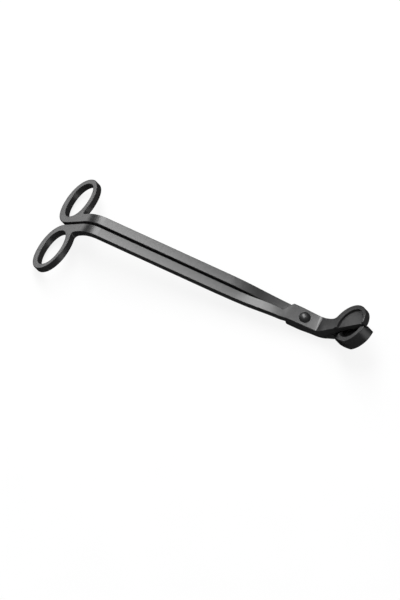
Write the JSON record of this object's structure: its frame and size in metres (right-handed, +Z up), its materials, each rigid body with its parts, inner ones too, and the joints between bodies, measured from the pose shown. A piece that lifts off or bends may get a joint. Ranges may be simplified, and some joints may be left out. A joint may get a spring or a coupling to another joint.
{
  "type": "candle wick trimmer",
  "caption": "Long black scissor-action wick trimmer with bent-down finger loops, a riveted pivot and a raised round head that cuts the wick and catches it in a cup.",
  "frame": {"origin": "on the surface that the tool stands on, midway between its two ends and between its two finger loops", "axes": "+X towards the cutting head, +Y towards the lower lever's finger loop, +Z up from the table"},
  "size_m": [0.186, 0.0594, 0.0279],
  "materials": {
    "lever_coat": "satin black coat over brushed stainless steel",
    "rivet_coat": "satin black coat, slightly glossier on the dome",
    "washer_nylon": "plain black nylon"
  },
  "bodies": {
    "lower": {"lower_lever": "lever_coat", "pivot_rivet": "rivet_coat", "friction_washer": "washer_nylon", "tail_washer": "rivet_coat"},
    "upper": {"upper_lever": "lever_coat"}
  },
  "joints": [
    {"name": "pivot", "type": "hinge", "parent": "lower", "child": "upper", "pos_m": [0.05374, 0, 0.00502], "axis": [0.1238, 0, 0.9923], "range_deg": [0, 32]}
  ]
}
